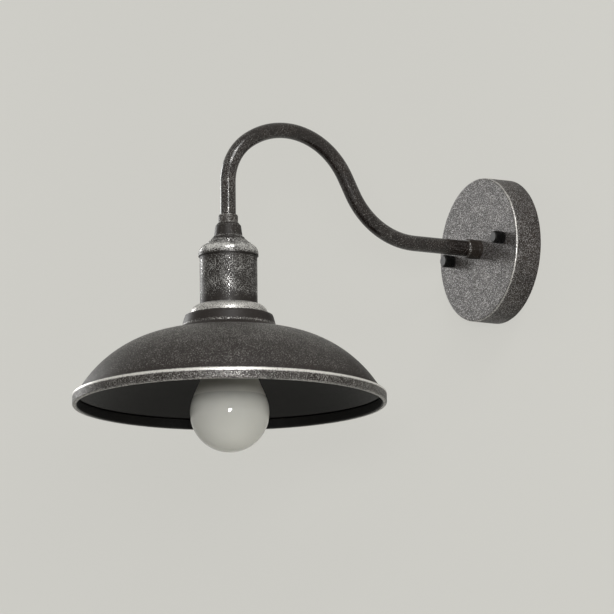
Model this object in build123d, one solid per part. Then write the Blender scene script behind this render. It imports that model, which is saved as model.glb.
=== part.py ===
from build123d import *
import os
from math import cos, pi, radians, sin, sqrt, tan

# Gooseneck wall sconce with a spun metal shade. Millimetres and degrees.
# The origin is the centre of the canopy's back, on the wall. +Z is up, and the arm reaches out along -Y.
# "Reach" is a distance out from the wall, and "depth" is a distance down from the top of the socket cap.

# Clearances
thread_gap = 0.05
slip_gap = 0.15
seat_gap = 0.3
running_gap = 0.05

# Canopy on the wall
canopy_radius = 60.0
canopy_depth = 24.0
canopy_wall = 1.0
canopy_edge_radius = 1.5

# Mounting strap behind the canopy
strap_length = 104.0
strap_width = 20.0
strap_thickness = 2.0
strap_corner = 4.0
strap_tilt = 6.0
wall_screw_spacing = 60.0
wall_screw_hole_radius = 2.25
supply_hole_radius = 5.0

# Studs and cap nuts, metric coarse thread size 4
stud_spacing = 79.0
stud_radius = 2.0
stud_head_radius = 3.2
stud_head_height = 0.8
nut_thread_depth = 7.4
stud_in_nut = 6.5
nut_radius = 5.2
nut_length = 9.4
nut_groove_height = 2.6
nut_groove_width = 1.0
nut_groove_depth = 0.7
nut_edge = 1.1
knurl_count = 32
knurl_depth = 0.3
nut_washer_radius = 4.8
nut_washer_thickness = 0.8

# Earth screw on the strap
earth_screw_offset = 16.0
earth_screw_radius = 2.0
earth_head_radius = 4.0
earth_head_height = 2.6
earth_washer_radius = 4.8
earth_washer_thickness = 1.0
screw_slot_width = 0.9
screw_slot_depth = 1.0
screw_head_bevel = 0.4
screw_head_flat = 0.75

# Terminal block on the strap
block_offset = 18.0
block_length = 11.0
block_width = 19.0
block_height = 11.0
block_pole_spacing = 9.6
block_edge = 0.8
block_wire_reach = 7.5
block_tube_radius = 2.3
block_tube_bore = 1.2
block_screw_radius = 1.3
block_screw_inset = 2.7
block_screw_head_radius = 1.6
block_screw_head_height = 2.2
block_fixing_radius = 1.5
block_fixing_head_radius = 2.6
block_fixing_head_height = 1.8
wire_in_block = 3.5

# Threaded nipples that join the arm to the canopy and to the lampholder
nipple_radius = 5.0
nipple_bore = 3.8
lock_nut_flats = 14.0
lock_nut_height = 4.0
tooth_washer_radius = 7.6
tooth_washer_thickness = 0.8
tooth_count = 14
tooth_depth = 1.0
wall_nipple_end = 16.0
bushing_bore = 2.9
bushing_flange_radius = 5.0
bushing_flange = 1.2
bushing_sleeve = 4.0

# Arm
arm_reach = 268.0
lamp_height = 1.2
tube_radius = 6.5
tube_wall = 1.0
collar_radius = 8.15
collar_length = 7.0
collar_chamfer = 1.2
collar_chamfer_radius = 7.5
collar_tube_seat = 2.0
spacer_radius = 8.0
spacer_length = 5.9
spacer_groove = 0.35
lower_bend_radius = 68.0
lower_bend_turn = 62.0
slanted_run = 15.5
crown_bend_radius = 65.0
crown_bend_turn = 95.0
shoulder_bend_radius = 45.0
bend_spacing = 1.0

# Leads inside the arm
lead_radius = 0.9
lead_offset = 1.3
lead_turn_radius = 5.5
lead_bend_radius = 8.0
lead_run_to_block = 4.0
lead_spread_start = 35.4
lead_spread_end = 40.6

# Socket cap at the end of the arm
cap_top_radius = 8.7
cap_neck_top = (10.6, 2.3)
cap_neck_foot = (11.8, 10.8)
cap_ledges = ((13.6, 12.6), (15.9, 15.0), (18.6, 17.0))
cap_ledge_drop = 0.7
cap_ledge_taper = 0.15
cap_shoulder_start = (20.4, 18.6)
cap_shoulder_bulge = (23.5, 21.2)
cap_lip_top = 24.8
cap_lip_taper = 0.1
cap_lip_radius = 24.9
cap_lip_depth = 27.9
cap_wall = 1.2
cap_top_wall = 2.0
cap_neck_bore = 9.2

# Socket cup
cup_radius = 23.85
cup_wall = 1.0
cup_top_depth = 24.2
cup_foot_depth = 68.6

# Shade: radius and drop below the top of its flange
shade_radius = 130.0
shade_wall = 0.9
shade_hole_radius = 20.1
shade_flange_radius = 24.9
ovolo_bulge = (30.3, 3.0)
ovolo_foot = (32.6, 8.2)
step_radius = 33.3
step_drop = 9.1
band_radius = 36.3
band_top = (37.1, 10.8)
band_foot = (39.0, 18.1)
neck_corner = 0.5
dome_start = (43.2, 22.0)
dome_middle = (90.0, 37.0)
dome_drop = 73.5
shade_height = 83.3
rim_width = 4.1
rim_ledge_drop = 0.8
rim_corner = 1.0
rim_bead_width = 3.7
rim_hem_drop = 2.0

# Lampholder
holder_boss_depth = 27.2
holder_boss_radius = 8.0
holder_boss_height = 5.0
holder_cap_radius = 21.3
holder_cap_round = 4.0
holder_cap_roof = 3.0
holder_nipple_end = 34.2
holder_spigot_radius = 18.7
holder_spigot_top = 45.2
holder_flange_radius = 22.2
holder_flange_height = 6.6
holder_thread_radius = 19.8
holder_mouth_depth = 88.7
holder_bore = 14.1
holder_ledge_depth = 65.2
core_radius = 16.0
core_top_depth = 46.2
core_recess_radius = 8.0
core_recess_roof = 61.2
terminal_offset = 6.5
terminal_size = (5.0, 6.0, 4.0)
terminal_bore = 1.15
terminal_screw_radius = 1.2
terminal_screw_head = 2.0
terminal_screw_length = 2.2
terminal_head_height = 1.6
wire_in_terminal = 2.6
shade_ring_radius = 24.3
shade_ring_height = 6.0
shade_ring_grips = 24
shade_ring_groove = 0.7
shade_ring_rim = 1.5

# Screw thread of the lamp cap, 25.4/7 mm a turn, drawn as plain cylinders at its mean radius
lamp_thread_radius = 12.6
thread_half_depth = 0.5
thread_clearance = 0.25
shell_wall = 0.4
shell_top_hole = 9.0
shell_roof = 1.0
shell_foot_depth = 87.2
contact_strip_wall = 0.4
contact_strip_clearance = 1.5
contact_strip_width = 5.0

# Bulb
bulb_tip_depth = 63.8
bulb_length = 128.0
globe_radius = 33.0
globe_wall = 1.2
globe_cut_height = 13.2
bulb_neck_radius = 14.2
bulb_neck_depth = 90.8
bulb_flare_angle = 23.8
bulb_flare_radius = 70.0
housing_wall = 1.5
bulb_spigot_radius = 11.4
bulb_spigot_bore = 10.0
lamp_shell_wall = 0.35
lamp_shell_top = 70.8
bulb_contact_radius = 4.8
bulb_contact_height = 2.4
bulb_contact_crown = 0.4
contact_shoulder = 0.9
contact_crown = 0.6
insulator_sleeve = 2.0
insulator_foot_radius = 11.0
insulator_top_radius = 5.2
heat_sink_wall = 1.2
heat_sink_skirt = 15.0
heat_sink_disc = 2.0
led_cover_gap = 0.5
led_board_radius = 24.0
led_board_wall = 1.0
led_size = (3.5, 2.8, 0.7)
led_rings = ((17.0, 12), (8.0, 5))
driver_board = (19.2, 34.0, 1.6)
driver_board_depth = 76.0
capacitor_radius = 4.0
capacitor_length = 11.0
coil_size = (9.0, 6.0, 8.0)
chip_size = (5.0, 1.6, 4.0)
driver_part_margin = 3.0

# Places that follow from the sizes above
wall_frame = Plane((0, 0, 0), x_dir=(1, 0, 0), z_dir=(0, -1, 0)).location
strap_frame = wall_frame * Rot(0, 0, strap_tilt)
head_frame = Location((0, -arm_reach, lamp_height))
collar_foot_reach = canopy_depth + spacer_length
tube_start_reach = collar_foot_reach + collar_length - collar_tube_seat
tube_end_height = lamp_height + collar_length - collar_tube_seat
globe_centre_depth = bulb_tip_depth + bulb_length - globe_radius
bulb_joint_depth = globe_centre_depth - globe_cut_height
bulb_joint_radius = sqrt(globe_radius**2 - globe_cut_height**2)


def lathe(points):
    """Solid turned about Z from a closed outline of (radius, height) points."""
    return revolve(Plane.XZ * make_face(Polyline(*points, close=True)), Axis.Z)


def lathe_curve(edges):
    """Solid turned about Z from a closed outline of edges in (radius, height)."""
    return revolve(Plane.XZ * make_face(edges), Axis.Z)


def tube(outer, bore, bottom, top):
    """Straight tube about Z between two heights."""
    return lathe([(bore, bottom), (outer, bottom), (outer, top), (bore, top)])


def rod(radius, bottom, top):
    """Round bar about Z between two heights."""
    return lathe([(0, bottom), (radius, bottom), (radius, top), (0, top)])


def down(point):
    """A (radius, depth) pair as a (radius, height) pair."""
    return point[0], -point[1]


def slotted_head(radius, height, bottom):
    """Round screw head with a straight slot across its top."""
    top = bottom + height
    edge = top - screw_head_bevel * height
    head = lathe([(0, bottom), (radius, bottom), (radius, edge), (screw_head_flat * radius, top), (0, top)])
    slot = Box(2 * radius + screw_slot_width, screw_slot_width, 2 * screw_slot_depth)
    return head - Pos(0, 0, top) * slot


# ---- wall fixing ----

def mounting_strap():
    bar = extrude(RectangleRounded(strap_length, strap_width, strap_corner), strap_thickness)
    bar -= rod(supply_hole_radius, 0, strap_thickness)
    for side in (-1, 1):
        bar -= Pos(side * wall_screw_spacing / 2, 0, 0) * rod(wall_screw_hole_radius, 0, strap_thickness)
        stud = Pos(side * stud_spacing / 2, 0, 0)
        bar -= stud * rod(stud_radius + thread_gap, 0, strap_thickness)
        bar -= stud * rod(stud_head_radius + thread_gap, 0, stud_head_height)
    bar -= Pos(earth_screw_offset, 0, 0) * rod(earth_screw_radius + thread_gap, 0, strap_thickness)
    bar -= Pos(-block_offset, 0, 0) * rod(block_fixing_radius + thread_gap, 0, strap_thickness)
    return strap_frame * bar


def strap_studs():
    tip = canopy_depth + nut_washer_thickness + stud_in_nut
    stud = rod(stud_radius, 0, tip - stud_radius / 2)
    point = tip - stud_radius / 2
    stud += lathe([(0, point), (stud_radius, point), (stud_radius / 2, tip), (0, tip)])
    stud += rod(stud_head_radius, 0, stud_head_height)
    return Compound([strap_frame * Pos(side * stud_spacing / 2, 0, 0) * stud for side in (-1, 1)])


def earth_washer():
    ring = tube(earth_washer_radius, earth_screw_radius + slip_gap, strap_thickness,
                strap_thickness + earth_washer_thickness)
    return strap_frame * Pos(earth_screw_offset, 0, 0) * ring


def earth_screw():
    seat = strap_thickness + earth_washer_thickness
    screw = rod(earth_screw_radius, 0, seat) + slotted_head(earth_head_radius, earth_head_height, seat)
    return strap_frame * Pos(earth_screw_offset, 0, 0) * screw


# ---- terminal block: its wires run along the strap ----

def block_poles():
    """Places of the two wire ways, on the strap."""
    return [Pos(-block_offset, side * block_pole_spacing / 2, block_wire_reach) for side in (1, -1)]


def along_strap(radius, length):
    return Rot(0, 90, 0) * rod(radius, -length / 2, length / 2)


def block_screw_places():
    return [pole * Pos(side * block_screw_inset, 0, 0) for pole in block_poles() for side in (-1, 1)]


def terminal_block_body():
    centre = Pos(-block_offset, 0, strap_thickness + block_height / 2)
    body = Box(block_length, block_width, block_height)
    body = centre * fillet(body.edges().filter_by(Axis.Z), block_edge)
    for pole in block_poles():
        body -= pole * along_strap(block_tube_radius + running_gap, block_length)
    for place in block_screw_places():
        body -= place * rod(block_screw_head_radius + slip_gap, 0, block_height)
    body -= Pos(-block_offset, 0, 0) * rod(block_fixing_radius + slip_gap, 0, strap_thickness + block_height)
    return strap_frame * body


def terminal_block_tubes():
    length = block_length - 2 * seat_gap
    sleeves = []
    for pole in block_poles():
        sleeve = pole * (along_strap(block_tube_radius, length) - along_strap(block_tube_bore, length))
        for side in (-1, 1):
            hole = rod(block_screw_radius + running_gap, 0, block_tube_radius + seat_gap)
            sleeve -= pole * Pos(side * block_screw_inset, 0, 0) * hole
        sleeves.append(strap_frame * sleeve)
    return Compound(sleeves)


def terminal_block_screws():
    foot = lead_radius + seat_gap
    shank = rod(block_screw_radius, foot, block_tube_radius + seat_gap)
    head = slotted_head(block_screw_head_radius, block_screw_head_height, block_tube_radius + seat_gap)
    return Compound([strap_frame * place * (shank + head) for place in block_screw_places()])


def terminal_block_fixing_screw():
    seat = strap_thickness + block_height
    screw = rod(block_fixing_radius, 0, seat)
    screw += slotted_head(block_fixing_head_radius, block_fixing_head_height, seat)
    return strap_frame * Pos(-block_offset, 0, 0) * screw


# ---- canopy and its nuts ----

def canopy():
    shell = rod(canopy_radius, 0, canopy_depth)
    shell = fillet(shell.edges().group_by(Axis.Z)[-1], canopy_edge_radius)
    inner = rod(canopy_radius - canopy_wall, 0, canopy_depth - canopy_wall)
    inner_round = max(canopy_edge_radius - canopy_wall, 0.2)
    shell -= fillet(inner.edges().group_by(Axis.Z)[-1], inner_round)
    shell -= rod(nipple_radius + slip_gap, 0, canopy_depth)
    for side in (-1, 1):
        place = Rot(0, 0, strap_tilt) * Pos(side * stud_spacing / 2, 0, 0)
        shell -= place * rod(stud_radius + seat_gap, 0, canopy_depth)
    return wall_frame * shell


def knurled_outline(radius):
    """Round outline with small teeth, for a grip."""
    points = []
    for tooth in range(knurl_count):
        for step, size in ((0, radius - knurl_depth), (0.35, radius), (0.65, radius)):
            angle = 2 * pi * (tooth + step) / knurl_count
            points.append((size * cos(angle), size * sin(angle)))
    return make_face(Polyline(*points, close=True))


def cap_nut(side):
    drum = extrude(knurled_outline(nut_radius), nut_length)
    slope = nut_groove_depth / 2
    waist = nut_radius - nut_groove_depth
    groove_end = nut_groove_height + nut_groove_width
    blank = lathe([(0, 0), (nut_radius - knurl_depth, 0), (nut_radius, knurl_depth),
                   (nut_radius, nut_groove_height), (waist, nut_groove_height + slope),
                   (waist, groove_end), (nut_radius, groove_end + slope),
                   (nut_radius, nut_length - nut_edge), (nut_radius - nut_edge, nut_length), (0, nut_length)])
    nut = drum & blank
    nut -= rod(stud_radius + running_gap, 0, nut_thread_depth)
    place = Pos(side * stud_spacing / 2, 0, canopy_depth + nut_washer_thickness)
    return strap_frame * place * nut


def cap_nut_washer(side):
    ring = tube(nut_washer_radius, stud_radius + running_gap, 0, nut_washer_thickness)
    return strap_frame * Pos(side * stud_spacing / 2, 0, canopy_depth) * ring


# ---- nipples, nuts and washers that pull the arm tight ----

def hex_nut(height):
    nut = extrude(RegularPolygon(lock_nut_flats / 2, 6, major_radius=False), height)
    corner = lock_nut_flats / 2 / cos(pi / 6)
    bevel = (corner - lock_nut_flats / 2) / 2
    nut &= lathe([(0, 0), (corner - 2 * bevel, 0), (corner, bevel), (corner, height - bevel),
                  (corner - 2 * bevel, height), (0, height)])
    return nut - rod(nipple_radius + thread_gap, 0, height)


def tooth_washer():
    points = []
    for tooth in range(tooth_count):
        for step, size in ((0, tooth_depth), (0.25, 0), (0.5, 0), (0.75, tooth_depth)):
            angle = 2 * pi * (tooth + step) / tooth_count
            radius = tooth_washer_radius - size
            points.append((radius * cos(angle), radius * sin(angle)))
    star = extrude(make_face(Polyline(*points, close=True)), tooth_washer_thickness)
    return star - rod(nipple_radius + slip_gap, 0, tooth_washer_thickness)


def wall_spacer_ring():
    middle = spacer_length / 2
    ring = lathe([(nipple_radius + slip_gap, 0), (spacer_radius, 0), (spacer_radius, middle - spacer_groove),
                  (spacer_radius - spacer_groove, middle), (spacer_radius, middle + spacer_groove),
                  (spacer_radius, spacer_length), (nipple_radius + slip_gap, spacer_length)])
    return wall_frame * Pos(0, 0, canopy_depth) * ring


def collar():
    """Threaded collar brazed to an end of the tube, with its foot at height 0."""
    seat = collar_length - collar_tube_seat
    thread = nipple_radius + thread_gap
    socket = tube_radius + thread_gap
    return lathe([(thread, 0), (collar_radius, 0), (collar_radius, collar_length - collar_chamfer),
                  (collar_chamfer_radius, collar_length), (socket, collar_length), (socket, seat),
                  (thread, seat)])


def wall_collar():
    return wall_frame * Pos(0, 0, collar_foot_reach) * collar()


def lamp_collar():
    return head_frame * collar()


def wall_nipple():
    return wall_frame * tube(nipple_radius, nipple_bore, wall_nipple_end, tube_start_reach - seat_gap)


def wall_tooth_washer():
    foot = canopy_depth - canopy_wall - tooth_washer_thickness
    return wall_frame * Pos(0, 0, foot) * tooth_washer()


def wall_lock_nut():
    foot = canopy_depth - canopy_wall - tooth_washer_thickness - lock_nut_height
    return wall_frame * Pos(0, 0, foot) * hex_nut(lock_nut_height)


def nipple_bushing():
    sleeve = nipple_bore - thread_gap
    foot = wall_nipple_end - bushing_flange
    top = wall_nipple_end + bushing_sleeve
    ring = lathe([(bushing_bore, foot), (bushing_flange_radius, foot),
                  (bushing_flange_radius, wall_nipple_end), (sleeve, wall_nipple_end), (sleeve, top),
                  (bushing_bore, top)])
    return wall_frame * ring


def lamp_nipple():
    top = collar_length - collar_tube_seat - seat_gap
    return head_frame * tube(nipple_radius, nipple_bore, -holder_nipple_end, top)


def lamp_tooth_washer():
    return head_frame * Pos(0, 0, -cap_top_wall - tooth_washer_thickness) * tooth_washer()


def lamp_lock_nut():
    foot = -cap_top_wall - tooth_washer_thickness - lock_nut_height
    return head_frame * Pos(0, 0, foot) * hex_nut(lock_nut_height)


# ---- arm ----

def heading(angle):
    return Vector(0, -cos(radians(angle)), sin(radians(angle)))


def bend_reach(radius, turn):
    """Distance from a bend's corner to where its arc starts."""
    return radius * tan(radians(turn) / 2)


def arm_corners():
    """The three corners of the arm's centre line, from the wall to the lamp."""
    descent = lower_bend_turn - crown_bend_turn
    shoulder_turn = 90 + descent
    rise = bend_reach(lower_bend_radius, lower_bend_turn) + slanted_run
    rise += bend_reach(crown_bend_radius, crown_bend_turn)
    fall = bend_reach(crown_bend_radius, crown_bend_turn) + bend_spacing
    fall += bend_reach(shoulder_bend_radius, shoulder_turn)
    across = rise * cos(radians(lower_bend_turn)) + fall * cos(radians(descent))
    lower = Vector(0, -(arm_reach - across), 0)
    crown = lower + rise * heading(lower_bend_turn)
    return [lower, crown, crown + fall * heading(descent)]


arm_bends = (lower_bend_radius, crown_bend_radius, shoulder_bend_radius)


def swept(points, radii, radius):
    """Round bar along straight runs joined by tangent arcs."""
    path = FilletPolyline(*points, radius=radii)
    section = Plane(origin=path @ 0, z_dir=path % 0) * Circle(radius)
    bar = sweep(section, path=path)
    drawn = pi * radius**2 * path.length
    print(f"swept bar: path {path.length:.2f}, volume {bar.volume:.2f}, section times length {drawn:.2f}")
    return bar


def gooseneck_tube():
    start = Vector(0, -tube_start_reach, 0)
    end = Vector(0, -arm_reach, tube_end_height)
    points = [start, *arm_corners(), end]
    return swept(points, arm_bends, tube_radius) - swept(points, arm_bends, tube_radius - tube_wall)


def on_strap(x, z, reach):
    """A point given on the tilted strap, as a place in the part."""
    return (strap_frame * Pos(x, z, reach)).position


def lead(side):
    """Lead from the terminal block, through the arm, to the lampholder's terminal."""
    pole = side * block_pole_spacing / 2
    face = -block_offset + block_length / 2
    height = lamp_height
    points = [on_strap(face - wire_in_block, pole, block_wire_reach),
              on_strap(face + lead_run_to_block, pole, block_wire_reach),
              Vector(side * lead_offset, -block_wire_reach, 0)]
    points += [corner + Vector(side * lead_offset, 0, 0) for corner in arm_corners()]
    points += [Vector(side * lead_offset, -arm_reach, height - lead_spread_start),
               Vector(side * terminal_offset, -arm_reach, height - lead_spread_end),
               Vector(side * terminal_offset, -arm_reach,
                      height - core_top_depth + terminal_size[2] - wire_in_terminal)]
    radii = (lead_turn_radius, lead_turn_radius, *arm_bends, lead_bend_radius, lead_bend_radius)
    return swept(points, radii, lead_radius)


# ---- socket cap and cup ----

def socket_cap():
    lip_top = (cap_lip_radius - cap_lip_taper, -cap_lip_top)
    shoulder = ThreePointArc(down(cap_shoulder_start), down(cap_shoulder_bulge), lip_top)
    ledges = []
    for radius, depth in cap_ledges:
        ledges += [(radius, -depth), (radius + cap_ledge_taper, -depth - cap_ledge_drop)]
    hole = nipple_radius + slip_gap
    outside = Polyline((hole, 0), (cap_top_radius, 0), down(cap_neck_top), down(cap_neck_foot),
                       *ledges, down(cap_shoulder_start))
    lip_bore = cup_radius + slip_gap
    roof = cup_radius - cup_wall
    slope = cap_neck_foot[1] + cap_wall
    inside = Polyline(lip_top, (cap_lip_radius, -cap_lip_depth), (lip_bore, -cap_lip_depth),
                      (lip_bore, -cup_top_depth), (roof, -cup_top_depth), (roof, -cup_top_depth + cap_wall),
                      (cap_neck_bore + cap_wall, -slope - cap_wall), (cap_neck_bore, -slope),
                      (cap_neck_bore, -cap_top_wall), (hole, -cap_top_wall), (hole, 0))
    return head_frame * lathe_curve(Curve([*outside.edges(), *shoulder.edges(), *inside.edges()]))


def socket_cup():
    return head_frame * tube(cup_radius, cup_radius - cup_wall, -cup_foot_depth, -cup_top_depth)


# ---- shade ----

def shade_outline():
    """Outer face of the spun sheet, from its hole to the hem inside the rolled rim."""
    flange = Line((shade_hole_radius, 0), (shade_flange_radius, 0))
    ovolo = ThreePointArc(flange @ 1, down(ovolo_bulge), down(ovolo_foot))
    neck = FilletPolyline(ovolo @ 1, (step_radius, -step_drop), (band_radius, -step_drop),
                          down(band_top), down(band_foot), down(dome_start),
                          radius=(0, 0, neck_corner, neck_corner))
    crease = (shade_radius - rim_width, -dome_drop)
    dome = ThreePointArc(neck @ 1, down(dome_middle), crease)
    hem_radius = shade_radius - rim_bead_width
    rim = FilletPolyline(crease, (shade_radius, -dome_drop - rim_ledge_drop),
                         (shade_radius, -shade_height), (hem_radius, -shade_height),
                         (hem_radius, -dome_drop - rim_hem_drop), radius=rim_corner)
    return Wire([*flange.edges(), *ovolo.edges(), *neck.edges(), *dome.edges(), *rim.edges()])


def shade():
    sheet = offset(shade_outline(), amount=shade_wall, side=Side.RIGHT)
    return head_frame * Pos(0, 0, -cup_foot_depth) * lathe_curve(sheet.edges())


def shade_ring():
    top = cup_foot_depth + shade_wall
    foot = top + shade_ring_height
    ring = tube(shade_ring_radius, holder_thread_radius + thread_gap, -foot, -top)
    groove = Pos(shade_ring_radius, 0, 0) * rod(shade_ring_groove, -foot, -top - shade_ring_rim)
    for grip in range(shade_ring_grips):
        ring -= Rot(0, 0, 360 * grip / shade_ring_grips) * groove
    return head_frame * ring


# ---- lampholder ----

def lampholder_cap():
    top = holder_boss_depth
    deck = top + holder_boss_height
    foot = cup_foot_depth - holder_flange_height - seat_gap
    bore = holder_spigot_radius + thread_gap
    cap = lathe([(nipple_radius + thread_gap, -top), (holder_boss_radius, -top), (holder_boss_radius, -deck),
                 (holder_cap_radius - holder_cap_round, -deck), (holder_cap_radius, -deck - holder_cap_round),
                 (holder_cap_radius, -foot), (bore, -foot), (bore, -deck - holder_cap_roof),
                 (nipple_radius + thread_gap, -deck - holder_cap_roof)])
    return head_frame * cap


def lampholder_skirt():
    shoulder = cup_foot_depth - holder_flange_height
    well = core_radius + slip_gap
    skirt = lathe([(well, -holder_spigot_top), (holder_spigot_radius, -holder_spigot_top),
                   (holder_spigot_radius, -shoulder), (holder_flange_radius, -shoulder),
                   (holder_flange_radius, -cup_foot_depth), (holder_thread_radius, -cup_foot_depth),
                   (holder_thread_radius, -holder_mouth_depth), (holder_bore, -holder_mouth_depth),
                   (holder_bore, -holder_ledge_depth), (well, -holder_ledge_depth)])
    return head_frame * skirt


def core_foot():
    """Depth of the core's foot, which stands on the screw shell's flange."""
    return holder_ledge_depth - shell_wall


def lampholder_core():
    core = lathe([(0, -core_top_depth), (core_radius, -core_top_depth), (core_radius, -core_foot()),
                  (core_recess_radius, -core_foot()), (core_recess_radius, -core_recess_roof),
                  (0, -core_recess_roof)])
    return head_frame * core


def terminals():
    length, width, height = terminal_size
    blocks = []
    for side in (-1, 1):
        block = Pos(side * terminal_offset, 0, -core_top_depth + height / 2) * Box(length, width, height)
        wire_hole = rod(terminal_bore, height - wire_in_terminal, height)
        block -= Pos(side * terminal_offset, 0, -core_top_depth) * wire_hole
        hole = rod(terminal_screw_radius + running_gap, terminal_bore / 2, length)
        block -= terminal_screw_place(side) * hole
        blocks.append(head_frame * block)
    return Compound(blocks)


def terminal_screw_place(side):
    """The screw's axis, pointing away from the wire in the terminal."""
    return Pos(side * terminal_offset, 0, -core_top_depth + terminal_size[2] / 2) * Rot(0, side * 90, 0)


def terminal_screws():
    face = terminal_size[0] / 2
    foot = lead_radius + seat_gap
    screw = rod(terminal_screw_radius, foot, foot + terminal_screw_length)
    screw += slotted_head(terminal_screw_head, terminal_head_height, face)
    return Compound([head_frame * terminal_screw_place(side) * screw for side in (-1, 1)])


def screw_shell():
    bore = lamp_thread_radius + thread_clearance
    crest = bore + thread_half_depth + shell_wall
    flange = core_radius - seat_gap
    roof = holder_ledge_depth + shell_roof
    shell = lathe([(bore, -shell_foot_depth), (crest, -shell_foot_depth), (crest, -holder_ledge_depth),
                   (flange, -holder_ledge_depth), (flange, -core_foot()), (shell_top_hole, -core_foot()),
                   (shell_top_hole, -roof), (bore, -roof)])
    return head_frame * shell


def centre_contact():
    """Sprung brass strip under the core, whose tip meets the lamp's contact."""
    roof = -core_recess_roof
    tip = -bulb_tip_depth + seat_gap
    wall = contact_strip_wall
    half = core_recess_radius - contact_strip_clearance
    outline = Polyline((-half, roof), (-half, roof - wall), (-half / 3, roof - wall), (-half / 4, tip),
                       (half / 2, tip), (half / 2, tip + wall), (-half / 4 + wall, tip + wall),
                       (-half / 4 + wall / 2, roof), close=True)
    strip = extrude(Plane.XZ * make_face(outline), contact_strip_width / 2, both=True)
    return head_frame * strip


# ---- bulb ----

def bulb_screw_shell():
    bore = lamp_thread_radius - thread_half_depth - lamp_shell_wall
    return head_frame * tube(lamp_thread_radius, bore, -bulb_neck_depth, -lamp_shell_top)


def bulb_insulator():
    top = bulb_tip_depth + bulb_contact_height
    crest = lamp_thread_radius - lamp_shell_wall - thread_half_depth - thread_gap
    foot = lamp_shell_top + insulator_sleeve
    cone = lathe([(0, -foot), (crest, -foot), (crest, -lamp_shell_top),
                  (insulator_foot_radius, -lamp_shell_top), (insulator_top_radius, -top), (0, -top)])
    return head_frame * cone


def bulb_contact():
    foot = bulb_tip_depth + bulb_contact_height
    edge = -foot + bulb_contact_height / 2
    button = lathe([(0, -foot), (bulb_contact_radius, -foot), (contact_shoulder * bulb_contact_radius, edge),
                    (contact_crown * bulb_contact_radius, -bulb_tip_depth - bulb_contact_crown), (0, -bulb_tip_depth)])
    return head_frame * button


def housing_line(inset):
    """Radius and height points of the housing's flare, moved inward by inset."""
    angle = radians(bulb_flare_angle)
    neck = bulb_neck_radius - inset
    joint = bulb_joint_radius - inset / cos(angle)
    bend = bulb_flare_radius + inset
    start = -bulb_joint_depth + (joint - neck) / tan(angle) + bend * tan(angle / 2)

    def along(turn):
        return neck + bend * (1 - cos(turn)), start - bend * sin(turn)

    return along(0), along(angle / 2), along(angle), (joint, -bulb_joint_depth)


def bulb_housing():
    spigot_top = lamp_shell_top + insulator_sleeve + seat_gap
    outer = housing_line(0)
    inner = housing_line(housing_wall)
    bore = bulb_spigot_bore
    lower = bulb_neck_depth
    flare = ThreePointArc(*outer[:3])
    lining = ThreePointArc(*inner[:3])
    sides = Polyline(flare @ 1, outer[3], inner[3], lining @ 1)
    top = Polyline(lining @ 0, (inner[0][0], -lower - housing_wall), (bore, -lower - housing_wall),
                   (bore, -spigot_top), (bulb_spigot_radius, -spigot_top), (bulb_spigot_radius, -lower),
                   (outer[0][0], -lower), flare @ 0)
    shape = Curve([*flare.edges(), *lining.edges(), *sides.edges(), *top.edges()])
    return head_frame * lathe_curve(shape)


def housing_bore(depth):
    """Inner radius of the housing's straight flare at a depth."""
    joint = bulb_joint_radius - housing_wall / cos(radians(bulb_flare_angle))
    return joint - (bulb_joint_depth - depth) * tan(radians(bulb_flare_angle))


def bulb_heat_sink():
    foot = board_depth() - led_board_wall
    rim = foot - heat_sink_disc
    top = rim - heat_sink_skirt
    outline = [(0, -foot), (housing_bore(foot) - slip_gap, -foot), (housing_bore(top) - slip_gap, -top),
               (housing_bore(top) - slip_gap - heat_sink_wall, -top),
               (housing_bore(rim) - slip_gap - heat_sink_wall, -rim), (0, -rim)]
    return head_frame * lathe(outline)


def board_depth():
    return bulb_joint_depth - led_size[2] - led_cover_gap


def bulb_led_board():
    return head_frame * rod(led_board_radius, -board_depth(), -board_depth() + led_board_wall)


def bulb_leds():
    chips = []
    height = -board_depth() - led_size[2] / 2
    for radius, count in led_rings:
        for step in range(count):
            place = Rot(0, 0, 360 * step / count) * Pos(radius, 0, height)
            chips.append(head_frame * place * Box(*led_size))
    return Compound(chips)


def driver_middle():
    return -driver_board_depth - driver_board[1] / 2


def bulb_driver_board():
    width, length, wall = driver_board
    return head_frame * Pos(0, 0, driver_middle()) * Box(width, wall, length)


def bulb_driver_parts():
    face = driver_board[2] / 2
    foot = driver_middle() - driver_board[1] / 2 + driver_part_margin
    can = Pos(0, -face - capacitor_radius, foot) * rod(capacitor_radius, 0, capacitor_length)
    coil = Pos(0, face + coil_size[1] / 2, foot + coil_size[2] / 2) * Box(*coil_size)
    chip = Pos(0, face + chip_size[1] / 2, foot + coil_size[2] + chip_size[2] + driver_part_margin)
    return Compound([head_frame * piece for piece in (can, coil, chip * Box(*chip_size))])


def bulb_globe():
    centre = -globe_centre_depth
    inner = globe_radius - globe_wall
    mouth = bulb_joint_radius - globe_wall
    inner_height = sqrt(inner**2 - mouth**2)
    outside = ThreePointArc((bulb_joint_radius, centre + globe_cut_height), (globe_radius, centre),
                            (0, centre - globe_radius))
    inside = ThreePointArc((0, centre - inner), (inner, centre), (mouth, centre + inner_height))
    ends = Polyline(outside @ 1, inside @ 0)
    lip = Polyline(inside @ 1, (mouth, centre + globe_cut_height), outside @ 0)
    shape = Curve([*outside.edges(), *inside.edges(), *ends.edges(), *lip.edges()])
    return head_frame * lathe_curve(shape)


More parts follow.
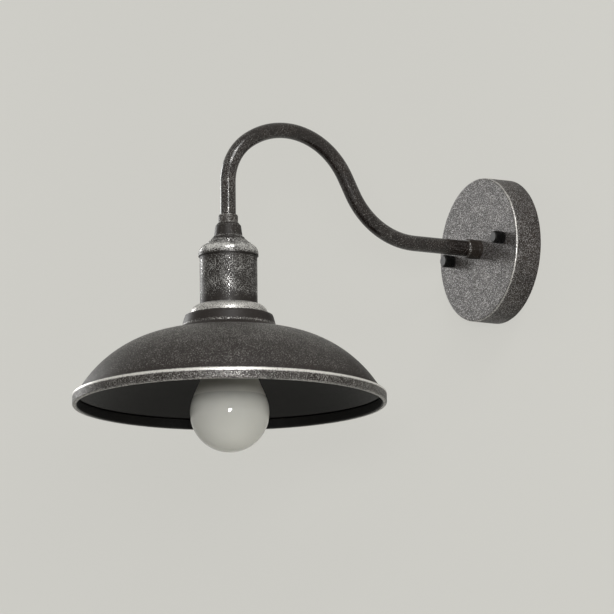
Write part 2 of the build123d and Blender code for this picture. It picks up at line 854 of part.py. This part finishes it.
nodes = {
    "mounting_strap": mounting_strap(),
    "strap_studs": strap_studs(),
    "earth_washer": earth_washer(),
    "earth_screw": earth_screw(),
    "terminal_block_body": terminal_block_body(),
    "terminal_block_tubes": terminal_block_tubes(),
    "terminal_block_screws": terminal_block_screws(),
    "terminal_block_fixing_screw": terminal_block_fixing_screw(),
    "canopy": canopy(),
    "left_cap_nut_washer": cap_nut_washer(-1),
    "left_cap_nut": cap_nut(-1),
    "right_cap_nut_washer": cap_nut_washer(1),
    "right_cap_nut": cap_nut(1),
    "wall_spacer_ring": wall_spacer_ring(),
    "wall_collar": wall_collar(),
    "wall_nipple": wall_nipple(),
    "wall_tooth_washer": wall_tooth_washer(),
    "wall_lock_nut": wall_lock_nut(),
    "nipple_bushing": nipple_bushing(),
    "gooseneck_tube": gooseneck_tube(),
    "lamp_collar": lamp_collar(),
    "lamp_nipple": lamp_nipple(),
    "lamp_tooth_washer": lamp_tooth_washer(),
    "lamp_lock_nut": lamp_lock_nut(),
    "live_lead": lead(1),
    "neutral_lead": lead(-1),
    "socket_cap": socket_cap(),
    "socket_cup": socket_cup(),
    "shade": shade(),
    "shade_ring": shade_ring(),
    "lampholder_cap": lampholder_cap(),
    "lampholder_skirt": lampholder_skirt(),
    "lampholder_core": lampholder_core(),
    "lampholder_terminals": terminals(),
    "lampholder_terminal_screws": terminal_screws(),
    "screw_shell": screw_shell(),
    "centre_contact": centre_contact(),
    "bulb_screw_shell": bulb_screw_shell(),
    "bulb_insulator": bulb_insulator(),
    "bulb_contact": bulb_contact(),
    "bulb_housing": bulb_housing(),
    "bulb_heat_sink": bulb_heat_sink(),
    "bulb_led_board": bulb_led_board(),
    "bulb_leds": bulb_leds(),
    "bulb_driver_board": bulb_driver_board(),
    "bulb_driver_parts": bulb_driver_parts(),
    "bulb_globe": bulb_globe(),
}

os.makedirs("parts", exist_ok=True)
for name, shape in nodes.items():
    export_step(shape, f"parts/{name}.step")
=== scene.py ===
"""Finishes, lights and camera for the gooseneck wall sconce, around its packed construction.

The lamp hangs on a wall in the plane y = 0 and reaches out along -Y. Lengths are in metres, apart
from the places in the silver's tables and the sizes of the patterns, which are in mm.
"""

import math

import bpy
from mathutils import Matrix, Vector


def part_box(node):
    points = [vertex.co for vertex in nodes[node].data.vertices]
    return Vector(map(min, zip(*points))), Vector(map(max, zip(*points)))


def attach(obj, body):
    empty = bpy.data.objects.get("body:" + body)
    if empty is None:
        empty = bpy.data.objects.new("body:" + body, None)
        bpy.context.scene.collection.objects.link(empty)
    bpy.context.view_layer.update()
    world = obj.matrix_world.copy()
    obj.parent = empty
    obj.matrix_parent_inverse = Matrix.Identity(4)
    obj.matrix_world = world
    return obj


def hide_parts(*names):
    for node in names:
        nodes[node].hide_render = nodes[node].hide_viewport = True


MM = 0.001

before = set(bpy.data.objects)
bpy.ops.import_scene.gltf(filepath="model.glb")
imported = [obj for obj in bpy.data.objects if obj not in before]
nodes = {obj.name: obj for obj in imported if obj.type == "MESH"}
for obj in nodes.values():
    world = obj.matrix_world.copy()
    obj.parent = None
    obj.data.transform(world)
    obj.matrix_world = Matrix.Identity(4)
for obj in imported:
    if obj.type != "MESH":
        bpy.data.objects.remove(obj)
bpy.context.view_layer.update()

# ---- places that the finishes follow, all read from the construction ----

cap_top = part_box("socket_cap")[1].z
shade_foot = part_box("shade")[0].z
arm_reach = -(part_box("lamp_collar")[0].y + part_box("lamp_collar")[1].y) / 2


# ---- colours and nodes ----

# The sockets of a colour Mix node's first and second colour.
first_colour, second_colour = 6, 7
# Nearly all of a noise pattern's values lie between these two.
noise_low, noise_high = 0.3, 0.7


def paint_colour(hex_code):
    """An sRGB colour such as 2b2926 as the linear values that a shader takes."""
    parts = [int(hex_code[i:i + 2], 16) / 255 for i in (0, 2, 4)]
    return (*[c / 12.92 if c <= 0.04045 else ((c + 0.055) / 1.055) ** 2.4 for c in parts], 1)


def add(tree, kind, inputs=(), stops=(), **settings):
    """Adds one node. Each input is a value or the socket that feeds it, and stops fill a ramp."""
    node = tree.nodes.new(kind)
    for name, value in settings.items():
        setattr(node, name, value)
    for name, value in dict(inputs).items():
        if isinstance(value, bpy.types.NodeSocket):
            tree.links.new(value, node.inputs[name])
        else:
            node.inputs[name].default_value = value
    for i, (place, value) in enumerate(stops):
        stop = node.color_ramp.elements[i] if i < 2 else node.color_ramp.elements.new(place)
        stop.position = place
        stop.color = (value, value, value, 1)
    return node


def per_metre(size_mm):
    """The scale of a pattern whose features are this many millimetres apart."""
    return 1 / (size_mm * MM)


def new_material(name):
    """An empty material: its node tree, and the place on the piece at rest, in metres."""
    material = bpy.data.materials.new(name)
    material.use_nodes = True
    tree = material.node_tree
    tree.nodes.clear()
    return material, tree, add(tree, "ShaderNodeTexCoord").outputs["Object"]


def finish_with(tree, shader):
    """Ends a material in this shader."""
    add(tree, "ShaderNodeOutputMaterial", {"Surface": shader.outputs[0]})


# ---- the lamp's own finish: black baking paint, silver dry-brushed over it, and some painted light ----

# How heavily the silver is rubbed on, from 0 to 1, by the depth in mm below the socket cap's top.
# Mouldings and edges catch the brush, and grooves stay black.
HEAD_RUB = [(-7, 0.9), (-6.4, 0.6), (-1.0, 0.6), (-0.3, 0.9), (0, 0.1), (2.0, 0.25), (3.0, 0.1),
            (10.0, 0.15), (11.4, 0.4), (12.8, 0.1), (14.6, 0.4), (16.6, 0.45), (18.4, 0.5),
            (21.5, 0.65), (24.5, 0.55), (27.0, 0.3), (27.8, 0.0), (29.5, 0.2), (33, 0.33),
            (60, 0.33), (65, 0.1), (68.4, 0.0)]
# On the shade the silver is rubbed on, and the table also paints light: the silver heaviest on
# the dome's upper part and thinning towards the rim is partly a painted sheen on the top of the
# dome; the bare black ring at 88.4 mm, on the riser between the neck's band and the dome, is
# painted shade; and the full silver on the bead's top shoulder, from 142.1 to 144.2 mm, is a
# rubbed edge and also a painted highlight.
SHADE_RUB_AND_PAINTED_LIGHT = [(68.5, 0.6), (69.6, 0.75), (76.0, 0.7), (77.2, 0.02), (79.0, 0.0), (84.0, 0.04),
             (86.0, 0.45), (87.2, 0.3), (88.4, 0.0), (90.6, 0.2), (93.0, 0.38), (104, 0.36),
             (122, 0.26), (136, 0.24), (140.5, 0.1), (141.4, 0.3), (142.1, 1.0), (144.2, 1.0),
             (145.3, 0.36), (150.5, 0.34), (151.9, 0.6)]
# The same by the reach in mm from the wall.
CANOPY_RUB = [(0, 0.4), (6, 0.42), (18, 0.44), (22.2, 0.5), (22.8, 0.9), (23.4, 0.9),
              (23.95, 0.5), (24, 0.5)]
# At the wall collar, the brighter ring from 35.7 to 36.3 mm, on the chamfer's edge, is a rubbed
# edge and also a painted highlight.
COLLAR_RUB_AND_PAINTED_HIGHLIGHT = [(24, 0.05), (27, 0.15), (30, 0.1), (34.5, 0.12), (35.7, 0.35), (36.3, 0.25),
              (36.9, 0.1)]
# Along the arm, the heavier silver on the run down to the lamp, from 258 mm on, is rubbed silver
# and also a painted glint.
TUBE_RUB_AND_PAINTED_GLINT = [(30, 0.16), (120, 0.22), (200, 0.14), (240, 0.18), (258, 0.26), (275, 0.3)]

# Thicker and thinner patches of paint and silver are this far apart.
patch_size = 9
# The silver takes on grains higher than this where its weight is lowest, and where its weight is
# highest.
top_grains, most_grains = 0.66, 0.2
# Silver paint is flakes in a clear coat, so it is a little less metallic than bare metal.
flake_share = 0.8


def silver_weight_along(axis, zero, stops):
    """How much silver lies on the paint, from a table by the distance in mm below a plane along
    an axis. The tables give how heavily the silver is rubbed on, and some of them also hold
    painted highlights, sheen and shade.
    """
    first, last = stops[0][0], stops[-1][0]

    def silver_weight(tree, place):
        along = add(tree, "ShaderNodeSeparateXYZ", {"Vector": place}).outputs[axis]
        share = add(tree, "ShaderNodeMapRange",
                    {"Value": along, "From Min": zero - first * MM, "From Max": zero - last * MM})
        ramp = add(tree, "ShaderNodeValToRGB", {"Fac": share.outputs[0]},
                   stops=[((mm - first) / (last - first), weight) for mm, weight in stops])
        return ramp.outputs["Color"]

    return silver_weight


head_rub = silver_weight_along("Z", cap_top, HEAD_RUB)
shade_rub_and_painted_light = silver_weight_along("Z", cap_top, SHADE_RUB_AND_PAINTED_LIGHT)
canopy_rub = silver_weight_along("Y", 0, CANOPY_RUB)
collar_rub_and_painted_highlight = silver_weight_along("Y", 0, COLLAR_RUB_AND_PAINTED_HIGHLIGHT)
tube_rub_and_painted_glint = silver_weight_along("Y", 0, TUBE_RUB_AND_PAINTED_GLINT)


def dry_brushed(name, silver_weight, grain=0.85, relief=0.12, patchy=0.1, fade=0.22, black="171412",
                brown="2a231e", black_roughness=0.5, black_specular=0.25, thin="686664",
                full="bfbdb9", silver_roughness=0.33):
    """Black baking paint over a fine sand coat, with silver dry-brushed on: the eye sees silver
    sparkles on the high grains, a warm black between them, and whole bright edges. Where the
    table of silver weights also paints highlights, sheen and shade, this silver and black carry
    them. The sand's real grains are too fine to show, so they are drawn 0.7 to 0.9 mm apart,
    about a pixel."""
    material, tree, place = new_material(name)
    grains = add(tree, "ShaderNodeTexNoise", {"Vector": place, "Scale": per_metre(grain),
                                              "Detail": 1, "Roughness": 0.5})
    patches = add(tree, "ShaderNodeTexNoise", {"Vector": place, "Scale": per_metre(patch_size),
                                               "Detail": 2})
    uneven = add(tree, "ShaderNodeMapRange",
                 {"Value": patches.outputs["Fac"], "From Min": noise_low, "From Max": noise_high,
                  "To Min": -patchy, "To Max": patchy})
    silver_amount = add(tree, "ShaderNodeMath", {0: silver_weight(tree, place), 1: uneven.outputs[0]},
                 operation="ADD")
    start = add(tree, "ShaderNodeMapRange", {"Value": silver_amount.outputs[0], "To Min": top_grains,
                                             "To Max": most_grains})
    end = add(tree, "ShaderNodeMath", {0: start.outputs[0], 1: fade}, operation="ADD")
    silvered = add(tree, "ShaderNodeMapRange",
                   {"Value": grains.outputs["Fac"], "From Min": start.outputs[0],
                    "From Max": end.outputs[0]}, interpolation_type="SMOOTHSTEP")
    paint = add(tree, "ShaderNodeMix",
                {"Factor": patches.outputs["Fac"], first_colour: paint_colour(black),
                 second_colour: paint_colour(brown)}, data_type="RGBA")
    silver = add(tree, "ShaderNodeMix",
                 {"Factor": silver_amount.outputs[0], first_colour: paint_colour(thin),
                  second_colour: paint_colour(full)}, data_type="RGBA")
    colour = add(tree, "ShaderNodeMix",
                 {"Factor": silvered.outputs[0], first_colour: paint.outputs[2],
                  second_colour: silver.outputs[2]}, data_type="RGBA")
    rough = add(tree, "ShaderNodeMapRange",
                {"Value": silvered.outputs[0], "To Min": black_roughness,
                 "To Max": silver_roughness})
    bump = add(tree, "ShaderNodeBump", {"Height": grains.outputs["Fac"], "Distance": relief * MM})
    metal = add(tree, "ShaderNodeMath", {0: silvered.outputs[0], 1: flake_share},
                operation="MULTIPLY")
    shader = add(tree, "ShaderNodeBsdfPrincipled",
                 {"Base Color": colour.outputs[2], "Metallic": metal.outputs[0],
                  "Roughness": rough.outputs[0], "Specular IOR Level": black_specular,
                  "Normal": bump.outputs[0]})
    finish_with(tree, shader)
    return material


# The cast and turned head, rubbed to bright silver on its mouldings.
head_paint = dry_brushed("silver_rubbed_black_paint_head", head_rub, grain=0.72, relief=0.04,
                         brown="1b1613", thin="5c5a57", full="f8f7f4", silver_roughness=0.19)
# The small collar on the arm's end: one even, smooth coat.
lamp_collar_paint = dry_brushed("silver_rubbed_black_paint_lamp_collar", head_rub, relief=0.01,
                                fade=0.6, silver_roughness=0.25)
# The spun shade: a fine even speckle, with a bright line round its rim that is rubbed silver and
# also a painted highlight, a painted sheen on the dome's upper part, and a painted shade ring on
# the riser below the neck.
shade_paint = dry_brushed("silver_rubbed_black_paint_and_painted_light_shade", shade_rub_and_painted_light, grain=0.72, relief=0.04,
                          patchy=0.04, brown="1f1917", thin="5f5c58", full="dbd9d5")
# The canopy has the coarsest sand coat, and a paler, denser speckle.
canopy_paint = dry_brushed("silver_rubbed_black_paint_canopy", canopy_rub, patchy=0.04, fade=0.34,
                           thin="636067")
# The tube is glossy black with a little silver along it, heavier on the run down to the lamp,
# where it is also a painted glint.
arm_paint = dry_brushed("silver_rubbed_black_paint_and_painted_glint_arm", tube_rub_and_painted_glint, grain=0.7, relief=0.012,
                        patchy=0.05, black="0d0b0a", brown="1c1410", black_roughness=0.2,
                        black_specular=0.42, full="dedcd7", silver_roughness=0.22)
# The spacer ring and collar at the wall are nearly all black, with a brighter ring on the
# collar's chamfer that is a rubbed edge and also a painted highlight.
collar_paint = dry_brushed("silver_rubbed_black_paint_and_painted_highlight_wall_collar", collar_rub_and_painted_highlight, relief=0.02,
                           black_roughness=0.36)


# ---- the other finishes, on the hidden works, the nuts and the bulb ----

def plain_finish(name, colour, second, blotch, roughness, grain, relief=0.01, metallic=0,
                 spread=0.08, stretch=(1, 1, 1), **shader_values):
    """A material of two near colours in soft blotches, with a fine relief and uneven gloss."""
    material, tree, place = new_material(name)
    drawn = add(tree, "ShaderNodeMapping", {"Vector": place, "Scale": stretch})
    blotches = add(tree, "ShaderNodeTexNoise",
                   {"Vector": place, "Scale": per_metre(blotch), "Detail": 3})
    fine = add(tree, "ShaderNodeTexNoise",
               {"Vector": drawn.outputs[0], "Scale": per_metre(grain), "Detail": 3})
    tone = add(tree, "ShaderNodeMix",
               {"Factor": blotches.outputs["Fac"], first_colour: paint_colour(colour),
                second_colour: paint_colour(second)}, data_type="RGBA")
    rough = add(tree, "ShaderNodeMapRange",
                {"Value": fine.outputs["Fac"], "From Min": noise_low, "From Max": noise_high,
                 "To Min": roughness - spread, "To Max": roughness + spread})
    bump = add(tree, "ShaderNodeBump", {"Height": fine.outputs["Fac"], "Distance": relief * MM})
    shader = add(tree, "ShaderNodeBsdfPrincipled",
                 {"Base Color": tone.outputs[2], "Metallic": metallic,
                  "Roughness": rough.outputs[0], "Normal": bump.outputs[0], **shader_values})
    finish_with(tree, shader)
    return material


# Satin black baking paint, sprayed: near black with a soft broad sheen and a faint orange peel.
inner_paint = plain_finish("satin_black_baking_paint", "0d0c0b", "11100f", blotch=20,
                           roughness=0.4, grain=1.6, relief=0.02,
                           **{"Specular IOR Level": 0.3})
# Black oxide on turned steel: deep black, with small hard glints on the knurl and bevels.
black_oxide = plain_finish("black_oxide_steel", "0b0b0b", "131211", blotch=4, roughness=0.34,
                           grain=0.3, metallic=0.6)
# Bright zinc plate on pressed steel: pale blue-grey, fine rolling lines, cloudy gloss.
zinc = plain_finish("bright_zinc_plate", "aeb3b8", "c2c3bf", blotch=5, roughness=0.34, grain=0.25,
                    relief=0.004, metallic=1, stretch=(1, 1, 0.15))
# Turned and pressed brass: yellow with slight brown tarnish in patches.
brass = plain_finish("turned_brass", "c6a057", "a98243", blotch=3, roughness=0.3, grain=0.2,
                     relief=0.003, metallic=1)
# Nickel plate on brass: warm bright silver with faint clouding.
nickel = plain_finish("nickel_plate", "c9c4b8", "b4afa4", blotch=5, roughness=0.24, grain=0.4,
                      relief=0.003, metallic=1)
# Moulded nylon: milky off-white, slightly waxy.
nylon = plain_finish("moulded_nylon", "dedacd", "d3cebf", blotch=6, roughness=0.45, grain=0.4)
# Compression-moulded phenolic: brown-black with a faint mottle and a dull gloss.
phenolic = plain_finish("moulded_phenolic", "161413", "1f1b19", blotch=3, roughness=0.38,
                        grain=0.5, relief=0.008)
# Unglazed steatite: chalky cream with a fine pressed grain.
steatite = plain_finish("unglazed_steatite", "ddd8ca", "cfc9b8", blotch=4, roughness=0.7,
                        grain=0.3, relief=0.015)
# Soft PVC over copper: even colour with a slight drawn gloss.
brown_pvc = plain_finish("brown_pvc_insulation", "5b3019", "4e2813", blotch=8, roughness=0.38,
                         grain=0.6, relief=0.006)
blue_pvc = plain_finish("blue_pvc_insulation", "21519b", "1c4788", blotch=8, roughness=0.38,
                        grain=0.6, relief=0.006)
# Black glass-filled insulator: smooth and glossy.
cap_glass = plain_finish("black_insulator_glass", "0c0c0e", "101012", blotch=4, roughness=0.16,
                         grain=0.8, relief=0.003)
# Pressed aluminium: pale dull metal with fine drawing marks.
aluminium = plain_finish("pressed_aluminium", "b6b8ba", "a7a9ab", blotch=6, roughness=0.42,
                         grain=0.3, relief=0.005, metallic=1)
# Heat-conducting moulded plastic: warm grey with a satin skin.
housing_plastic = plain_finish("moulded_heat_plastic", "c2c0b8", "c8c6be", blotch=12,
                               roughness=0.45, grain=0.5, relief=0.008)
# Opal polycarbonate, blown: milky white that lets light in and keeps a clear small highlight.
opal = plain_finish("opal_polycarbonate", "bbbab3", "b7b6af", blotch=20, roughness=0.05, grain=6,
                    relief=0.002, spread=0.01,
                    **{"Subsurface Weight": 0.3, "Subsurface Scale": 0.008,
                       "Subsurface Radius": (1.0, 0.95, 0.85)})
# White solder mask on an aluminium board, and green mask on glass laminate.
white_mask = plain_finish("white_solder_mask", "e6e6e2", "dedfdb", blotch=5, roughness=0.35,
                          grain=0.4)
green_mask = plain_finish("green_solder_mask", "1d5a33", "1a5230", blotch=5, roughness=0.3,
                          grain=0.5)
# Phosphor in clear resin: flat yellow with a wet gloss.
phosphor = plain_finish("led_phosphor_resin", "e8c84e", "dcbb45", blotch=1.5, roughness=0.2,
                        grain=0.3)
# Epoxy-coated parts: dark with a smooth skin.
epoxy = plain_finish("black_epoxy", "17171a", "202024", blotch=2, roughness=0.3, grain=0.3)

FINISHES = {
    "mounting_strap": zinc, "strap_studs": zinc, "earth_washer": brass, "earth_screw": brass,
    "terminal_block_body": nylon, "terminal_block_tubes": brass, "terminal_block_screws": zinc,
    "terminal_block_fixing_screw": zinc, "canopy": canopy_paint,
    "left_cap_nut_washer": phenolic, "left_cap_nut": black_oxide,
    "right_cap_nut_washer": phenolic, "right_cap_nut": black_oxide,
    "wall_spacer_ring": collar_paint, "wall_collar": collar_paint, "wall_nipple": zinc,
    "wall_tooth_washer": zinc, "wall_lock_nut": zinc, "nipple_bushing": nylon,
    "gooseneck_tube": arm_paint, "lamp_collar": lamp_collar_paint, "lamp_nipple": zinc,
    "lamp_tooth_washer": zinc, "lamp_lock_nut": zinc, "live_lead": brown_pvc,
    "neutral_lead": blue_pvc, "socket_cap": head_paint, "socket_cup": head_paint,
    "shade": shade_paint, "shade_ring": phenolic, "lampholder_cap": phenolic,
    "lampholder_skirt": phenolic, "lampholder_core": steatite, "lampholder_terminals": brass,
    "lampholder_terminal_screws": zinc, "screw_shell": brass, "centre_contact": brass,
    "bulb_screw_shell": nickel, "bulb_insulator": cap_glass, "bulb_contact": nickel,
    "bulb_housing": housing_plastic, "bulb_heat_sink": aluminium, "bulb_led_board": white_mask,
    "bulb_leds": phosphor, "bulb_driver_board": green_mask, "bulb_driver_parts": epoxy,
    "bulb_globe": opal,
}


def paint_inside(node, finish, heart):
    """Gives a second finish to the faces of a shell that look towards a point inside it."""
    mesh = nodes[node].data
    mesh.materials.append(finish)
    for face in mesh.polygons:
        if face.normal.dot(face.center - heart) < 0:
            face.material_index = 1


for name, finish in FINISHES.items():
    mesh = nodes[name].data
    mesh.materials.clear()
    mesh.materials.append(finish)
    for face in mesh.polygons:
        face.material_index = 0

# The points that the inner faces of the shade and of the canopy look towards.
shade_heart = Vector((0, -arm_reach, shade_foot + 10 * MM))
canopy_heart = Vector((0, -5 * MM, 0))
paint_inside("shade", inner_paint, shade_heart)
paint_inside("canopy", inner_paint, canopy_heart)


# ---- the rolled thread of the lamp cap, which the construction has as a plain cylinder ----

# Seven turns to the inch. The crests stay at the plain cylinder's radius, and the roots lie twice
# the half depth inside them. The thread leaves a plain end above and below, and deepens from it
# over the roll-off.
thread_pitch = 25.4 / 7 * MM
thread_half_depth = 0.5 * MM
thread_plain_end = 1.6 * MM
thread_roll_off = 2.5 * MM
thread_wall = 0.3 * MM
thread_sides = 96
thread_rings_a_turn = 20


def rolled_shell(name, node, finish, body):
    """The lamp cap's nickel shell, with a round right-hand thread rolled between plain ends."""
    low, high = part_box(node)
    axis = (low + high) / 2
    length = high.z - low.z
    crest = (high.x - low.x) / 2
    rings = round(length / thread_pitch * thread_rings_a_turn)
    points = []
    for inset in (0, thread_wall):
        for ring in range(rings + 1):
            height = length * ring / rings
            clear = min(height, length - height) - thread_plain_end
            share = min(max(clear / thread_roll_off, 0), 1)
            depth = thread_half_depth * share * share * (3 - 2 * share)
            for side in range(thread_sides):
                turn = 2 * math.pi * side / thread_sides
                wave = math.cos(2 * math.pi * height / thread_pitch - turn)
                radius = crest - inset - depth * (1 - wave)
                points.append((axis.x + radius * math.cos(turn),
                               axis.y + radius * math.sin(turn), low.z + height))
    faces = []
    inner = (rings + 1) * thread_sides
    last = rings * thread_sides
    for side in range(thread_sides):
        after = (side + 1) % thread_sides
        for ring in range(rings):
            foot, top = ring * thread_sides, (ring + 1) * thread_sides
            faces.append((foot + side, foot + after, top + after, top + side))
            faces.append((inner + foot + after, inner + foot + side,
                          inner + top + side, inner + top + after))
        faces.append((side, inner + side, inner + after, after))
        faces.append((last + side, last + after, inner + last + after, inner + last + side))
    mesh = bpy.data.meshes.new(name)
    mesh.from_pydata(points, [], faces)
    mesh.materials.append(finish)
    for face in mesh.polygons:
        face.use_smooth = True
    shell = bpy.data.objects.new(name, mesh)
    bpy.context.scene.collection.objects.link(shell)
    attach(shell, body)
    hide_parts(node)


rolled_shell("bulb_threaded_shell", "bulb_screw_shell", nickel, "bulb")


# ---- wall, floor and light ----

pale = "cfcec8"
# How much of the wall's look is its own plain colour, the rest being light and shadow on it.
plain_share = 0.86
ambient_strength = 0.27


def seen_directly(tree):
    """1 where the surroundings are looked at, by the camera, in a gloss or through a clear
    thing, and 0 where they only light the lamp."""
    rays = add(tree, "ShaderNodeLightPath").outputs
    seen = add(tree, "ShaderNodeMath", {0: rays["Is Camera Ray"], 1: rays["Is Glossy Ray"]},
               operation="ADD")
    return add(tree, "ShaderNodeMath", {0: seen.outputs[0], 1: rays["Is Transmission Ray"]},
               operation="ADD").outputs[0]


def pale_surface(name):
    """Matt wall paint, seen from its front only. What the camera and gloss see is mostly its own
    pale colour, and the rest is shaded, so that the lamp's soft shadow stays."""
    material, tree, _ = new_material(name)
    own = add(tree, "ShaderNodeMath", {0: seen_directly(tree), 1: plain_share},
              operation="MULTIPLY")
    matt = add(tree, "ShaderNodeBsdfDiffuse", {"Color": paint_colour(pale)})
    plain = add(tree, "ShaderNodeEmission", {"Color": paint_colour(pale)})
    front = add(tree, "ShaderNodeMixShader",
                {0: own.outputs[0], 1: matt.outputs[0], 2: plain.outputs[0]})
    clear = add(tree, "ShaderNodeBsdfTransparent")
    behind = add(tree, "ShaderNodeNewGeometry").outputs["Backfacing"]
    finish_with(tree, add(tree, "ShaderNodeMixShader",
                          {0: behind, 1: front.outputs[0], 2: clear.outputs[0]}))
    return material


def backdrop(name, centre, normal, size, finish):
    """A square of wall or floor that faces along normal."""
    turned = normal.to_track_quat("Z", "Y")
    half = size / 2
    corners = [centre + turned @ Vector((x, y, 0)) for x, y in
               ((-half, -half), (half, -half), (half, half), (-half, half))]
    mesh = bpy.data.meshes.new(name)
    mesh.from_pydata(corners, [], [(0, 1, 2, 3)])
    mesh.materials.append(finish)
    surface = bpy.data.objects.new(name, mesh)
    bpy.context.scene.collection.objects.link(surface)


wall_paint = pale_surface("matt_wall_paint")
room_size = 8
floor_drop = 1.4
wall_gap = 0.5 * MM
backdrop("wall", Vector((0, wall_gap, 0)), Vector((0, -1, 0)), room_size, wall_paint)
backdrop("floor", Vector((0, -room_size / 2, -floor_drop)), Vector((0, 0, 1)), room_size,
         wall_paint)


def direction(turn, rise):
    """The way out to something seen at these degrees round the lamp and above its horizon."""
    t, r = math.radians(turn), math.radians(rise)
    return Vector((math.sin(t) * math.cos(r), -math.cos(t) * math.cos(r), math.sin(r)))


lamp_middle = Vector((0, -arm_reach / 2, -30 * MM))


def softbox(name, turn, rise, distance, size, level):
    """A square soft lamp. Level is how bright a white card at the sconce would be, held to it."""
    data = bpy.data.lights.new(name, "AREA")
    data.size = size
    data.energy = level * math.pi ** 2 * distance ** 2
    lamp = bpy.data.objects.new(name, data)
    way = direction(turn, rise)
    lamp.matrix_world = way.to_track_quat("Z", "Y").to_matrix().to_4x4()
    lamp.location = lamp_middle + way * distance
    lamp.visible_camera = False
    bpy.context.scene.collection.objects.link(lamp)


# One from the left, for the bright left edges, and three near the camera: a low one for the
# globe and the canopy's face, a small one for the line down the cup and tube, and a high one
# for the dome.
softbox("left_softbox", turn=-76, rise=15, distance=1.7, size=0.55, level=0.26)
softbox("low_front_softbox", turn=57, rise=-5, distance=2.4, size=0.36, level=0.58)
softbox("front_strip_softbox", turn=61, rise=10, distance=2.2, size=0.2, level=0.12)
softbox("high_front_softbox", turn=62, rise=42, distance=1.8, size=0.7, level=0.5)

world = bpy.data.worlds.new("studio")
world.use_nodes = True
bpy.context.scene.world = world
sky = world.node_tree
sky.nodes.clear()
ambient = add(sky, "ShaderNodeBackground",
              {"Color": paint_colour("ffffff"), "Strength": ambient_strength})
beyond = add(sky, "ShaderNodeBackground", {"Color": paint_colour(pale), "Strength": 1})
both = add(sky, "ShaderNodeMixShader",
           {0: seen_directly(sky), 1: ambient.outputs[0], 2: beyond.outputs[0]})
add(sky, "ShaderNodeOutputWorld", {"Surface": both.outputs[0]})


# ---- camera, at the photograph's angle ----

# In degrees: round the lamp from straight in front, above its horizon, and the camera's own roll.
view_turn, view_rise, view_roll = 58.3152, -9.9148, -0.4706
view_distance = 16.0
# The width of the view at the lamp, and how far its middle is from the canopy's centre.
width_seen = 512.4 * MM
aim_across, aim_up = -163.07 * MM, -45.67 * MM
# In mm, as Blender's lens is.
sensor_width = 36

back = direction(view_turn, view_rise)
level_across = direction(view_turn + 90, 0)
level_up = back.cross(level_across)
tilt = math.radians(view_roll)
across = math.cos(tilt) * level_across + math.sin(tilt) * level_up
up = math.cos(tilt) * level_up - math.sin(tilt) * level_across

lens = bpy.data.cameras.new("camera")
lens.sensor_width = sensor_width
lens.lens = sensor_width * view_distance / width_seen
camera = bpy.data.objects.new("camera", lens)
camera.matrix_world = Matrix((across, up, back)).transposed().to_4x4()
camera.location = across * aim_across + up * aim_up + back * view_distance
bpy.context.scene.collection.objects.link(camera)
bpy.context.scene.camera = camera
bpy.context.scene.view_settings.view_transform = "Standard"
